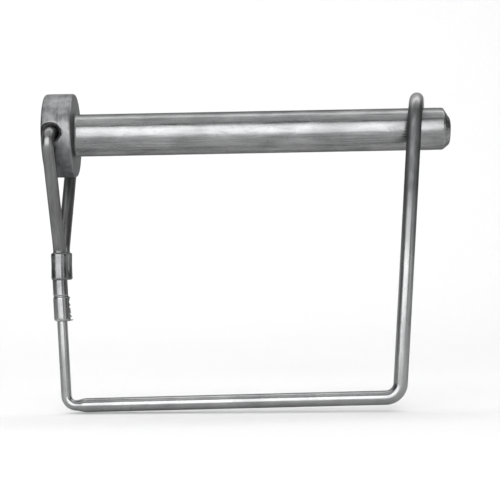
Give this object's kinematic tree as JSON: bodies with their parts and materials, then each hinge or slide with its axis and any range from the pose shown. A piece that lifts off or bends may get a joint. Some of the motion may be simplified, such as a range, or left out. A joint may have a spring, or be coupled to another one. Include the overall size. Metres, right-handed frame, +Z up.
{
  "type": "hitch lock pin",
  "caption": "Steel hitch pin with a round head and a square wire bail that swings on the head and hooks over the tip.",
  "frame": {"origin": "on the pin's axis, in the plane of the head's seat face", "axes": "+X along the shank to the tip, +Z up, away from the hanging bail"},
  "size_m": [0.0909, 0.0263, 0.0719],
  "materials": {
    "pin_zinc": "zinc plated, drawn bar with fine marks along the shank",
    "wire_zinc": "zinc plated spring wire, satin",
    "crimp_steel": "crimped steel, dull with bright pressed edges"
  },
  "bodies": {
    "pin": {"pin_body": "pin_zinc"},
    "bail": {"yoke_wire": "wire_zinc", "crimp_band": "crimp_steel", "splice_sleeve": "crimp_steel", "spring_wire": "wire_zinc"},
    "arm": {"bail_arm": "wire_zinc", "latch_hook": "wire_zinc"}
  },
  "joints": [
    {"name": "bail_swing", "type": "hinge", "parent": "pin", "child": "bail", "pos_m": [-0.0036, 0, -0.0001], "axis": [0.0872, 0.9962, 0], "range_deg": [-45, 240]},
    {"name": "spring_twist", "type": "hinge", "parent": "bail", "child": "arm", "pos_m": [-0.00356, 0, -0.054], "axis": [0.0372, -0.0033, -0.9993], "range_deg": [0, 12], "stiffness_Nm_per_rad": 4.9, "deforming": ["latch_hook"]}
  ]
}
